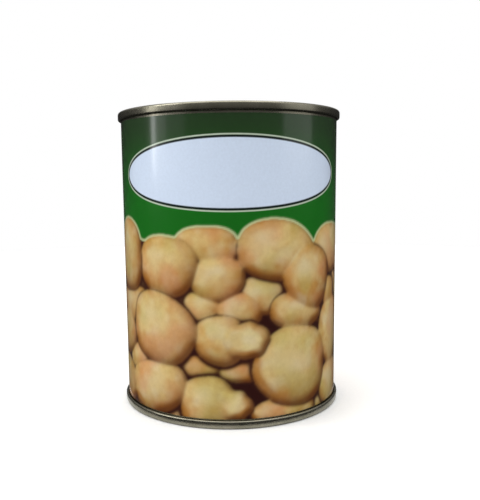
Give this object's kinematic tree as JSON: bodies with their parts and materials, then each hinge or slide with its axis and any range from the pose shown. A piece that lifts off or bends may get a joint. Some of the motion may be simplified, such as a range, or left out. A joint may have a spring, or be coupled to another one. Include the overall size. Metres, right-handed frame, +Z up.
{
  "type": "food can",
  "caption": "Sealed round tinplate food can with double-seamed ends and a glossy wrap-around label picturing button mushrooms, holding whole mushrooms.",
  "frame": {"origin": "middle of the can's foot, on the plane of the surface that it stands on", "axes": "+Z up along the can's axis; -Y is the front of the label; +X is to the right seen from the front"},
  "size_m": [0.0864, 0.0864, 0.113],
  "materials": {
    "tinplate": "satin",
    "printed_label": "gloss",
    "sealing_compound": "matte",
    "label_glue": "satin",
    "mushroom_flesh": "satin"
  },
  "bodies": {
    "root": {"can_body": "tinplate", "top_end": "tinplate", "bottom_end": "tinplate", "top_seam_compound": "sealing_compound", "bottom_seam_compound": "sealing_compound", "paper_label": "printed_label", "label_lap_glue": "label_glue", "label_pickup_glue": "label_glue", "mushroom_01": "mushroom_flesh", "mushroom_02": "mushroom_flesh", "mushroom_03": "mushroom_flesh", "mushroom_04": "mushroom_flesh", "mushroom_05": "mushroom_flesh", "mushroom_06": "mushroom_flesh", "mushroom_07": "mushroom_flesh", "mushroom_08": "mushroom_flesh", "mushroom_09": "mushroom_flesh", "mushroom_10": "mushroom_flesh", "mushroom_11": "mushroom_flesh", "mushroom_12": "mushroom_flesh", "mushroom_13": "mushroom_flesh", "mushroom_14": "mushroom_flesh", "mushroom_15": "mushroom_flesh", "mushroom_16": "mushroom_flesh", "mushroom_17": "mushroom_flesh", "mushroom_18": "mushroom_flesh", "mushroom_19": "mushroom_flesh", "mushroom_20": "mushroom_flesh", "mushroom_21": "mushroom_flesh", "mushroom_22": "mushroom_flesh", "mushroom_23": "mushroom_flesh", "mushroom_24": "mushroom_flesh", "mushroom_25": "mushroom_flesh", "mushroom_26": "mushroom_flesh", "mushroom_27": "mushroom_flesh", "mushroom_28": "mushroom_flesh"}
  },
  "joints": []
}
